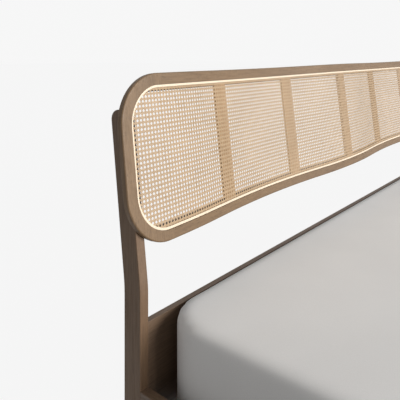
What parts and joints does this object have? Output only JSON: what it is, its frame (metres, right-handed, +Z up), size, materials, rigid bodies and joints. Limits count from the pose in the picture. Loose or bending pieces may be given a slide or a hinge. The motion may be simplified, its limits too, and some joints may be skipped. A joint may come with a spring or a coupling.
{
  "type": "cane bed",
  "caption": "Low wooden bed with a leaning, waved headboard of woven cane in a rounded frame, on two bent posts, with slats, a centre beam and a fitted mattress.",
  "frame": {"origin": "on the floor, under the middle of the bed's bounding box", "axes": "+Z up, +Y towards the headboard, +X to the right seen from the foot"},
  "size_m": [2.168, 2.1286, 0.9934],
  "materials": {
    "headboard_frame": "oiled grey-brown ash",
    "dowel_wood": "plain beech",
    "cane": "woven natural cane",
    "bead": "pale reed spline",
    "battens": "plain wood",
    "screws": "zinc plated",
    "posts": "oiled grey-brown ash",
    "glides": "black nylon",
    "bolts": "plain steel",
    "inserts": "plain brass",
    "barrels": "plain steel",
    "rails": "oiled grey-brown ash",
    "base_wood": "plain pine",
    "hangers": "black powder coat",
    "slats": "plain pine",
    "mattress": "pale grey fitted sheet"
  },
  "bodies": {
    "bed_frame": {"headboard_top_rail": "headboard_frame", "headboard_bottom_rail": "headboard_frame", "headboard_left_end": "headboard_frame", "headboard_right_end": "headboard_frame", "headboard_dowels": "dowel_wood", "cane_webbing": "cane", "cane_bead": "bead", "batten_far_left": "battens", "batten_left": "battens", "batten_centre": "battens", "batten_right": "battens", "batten_far_right": "battens", "batten_screws": "screws", "ledge_screws": "screws", "slat_screws": "screws", "hanger_screws": "screws", "centre_leg_screws": "screws", "left_head_post": "posts", "right_head_post": "posts", "left_foot_leg": "posts", "right_foot_leg": "posts", "glides": "glides", "headboard_bolts": "bolts", "headboard_inserts": "inserts", "head_rail": "rails", "foot_rail": "rails", "left_side_rail": "rails", "right_side_rail": "rails", "side_rail_bolts": "bolts", "cross_rail_bolts": "bolts", "side_rail_barrels": "barrels", "cross_rail_barrels": "barrels", "left_ledge": "base_wood", "right_ledge": "base_wood", "centre_beam": "base_wood", "centre_leg_foot": "base_wood", "centre_leg_middle": "base_wood", "centre_leg_head": "base_wood", "head_hanger": "hangers", "foot_hanger": "hangers", "slat_01": "slats", "slat_02": "slats", "slat_03": "slats", "slat_04": "slats", "slat_05": "slats", "slat_06": "slats", "slat_07": "slats", "slat_08": "slats", "slat_09": "slats", "slat_10": "slats", "slat_11": "slats", "slat_12": "slats", "slat_13": "slats"},
    "mattress_body": {"mattress": "mattress"}
  },
  "joints": [
    {"name": "mattress_lift", "type": "slide", "parent": "bed_frame", "child": "mattress_body", "axis": [0, 0, 1], "range_m": [0, 0.12]}
  ]
}
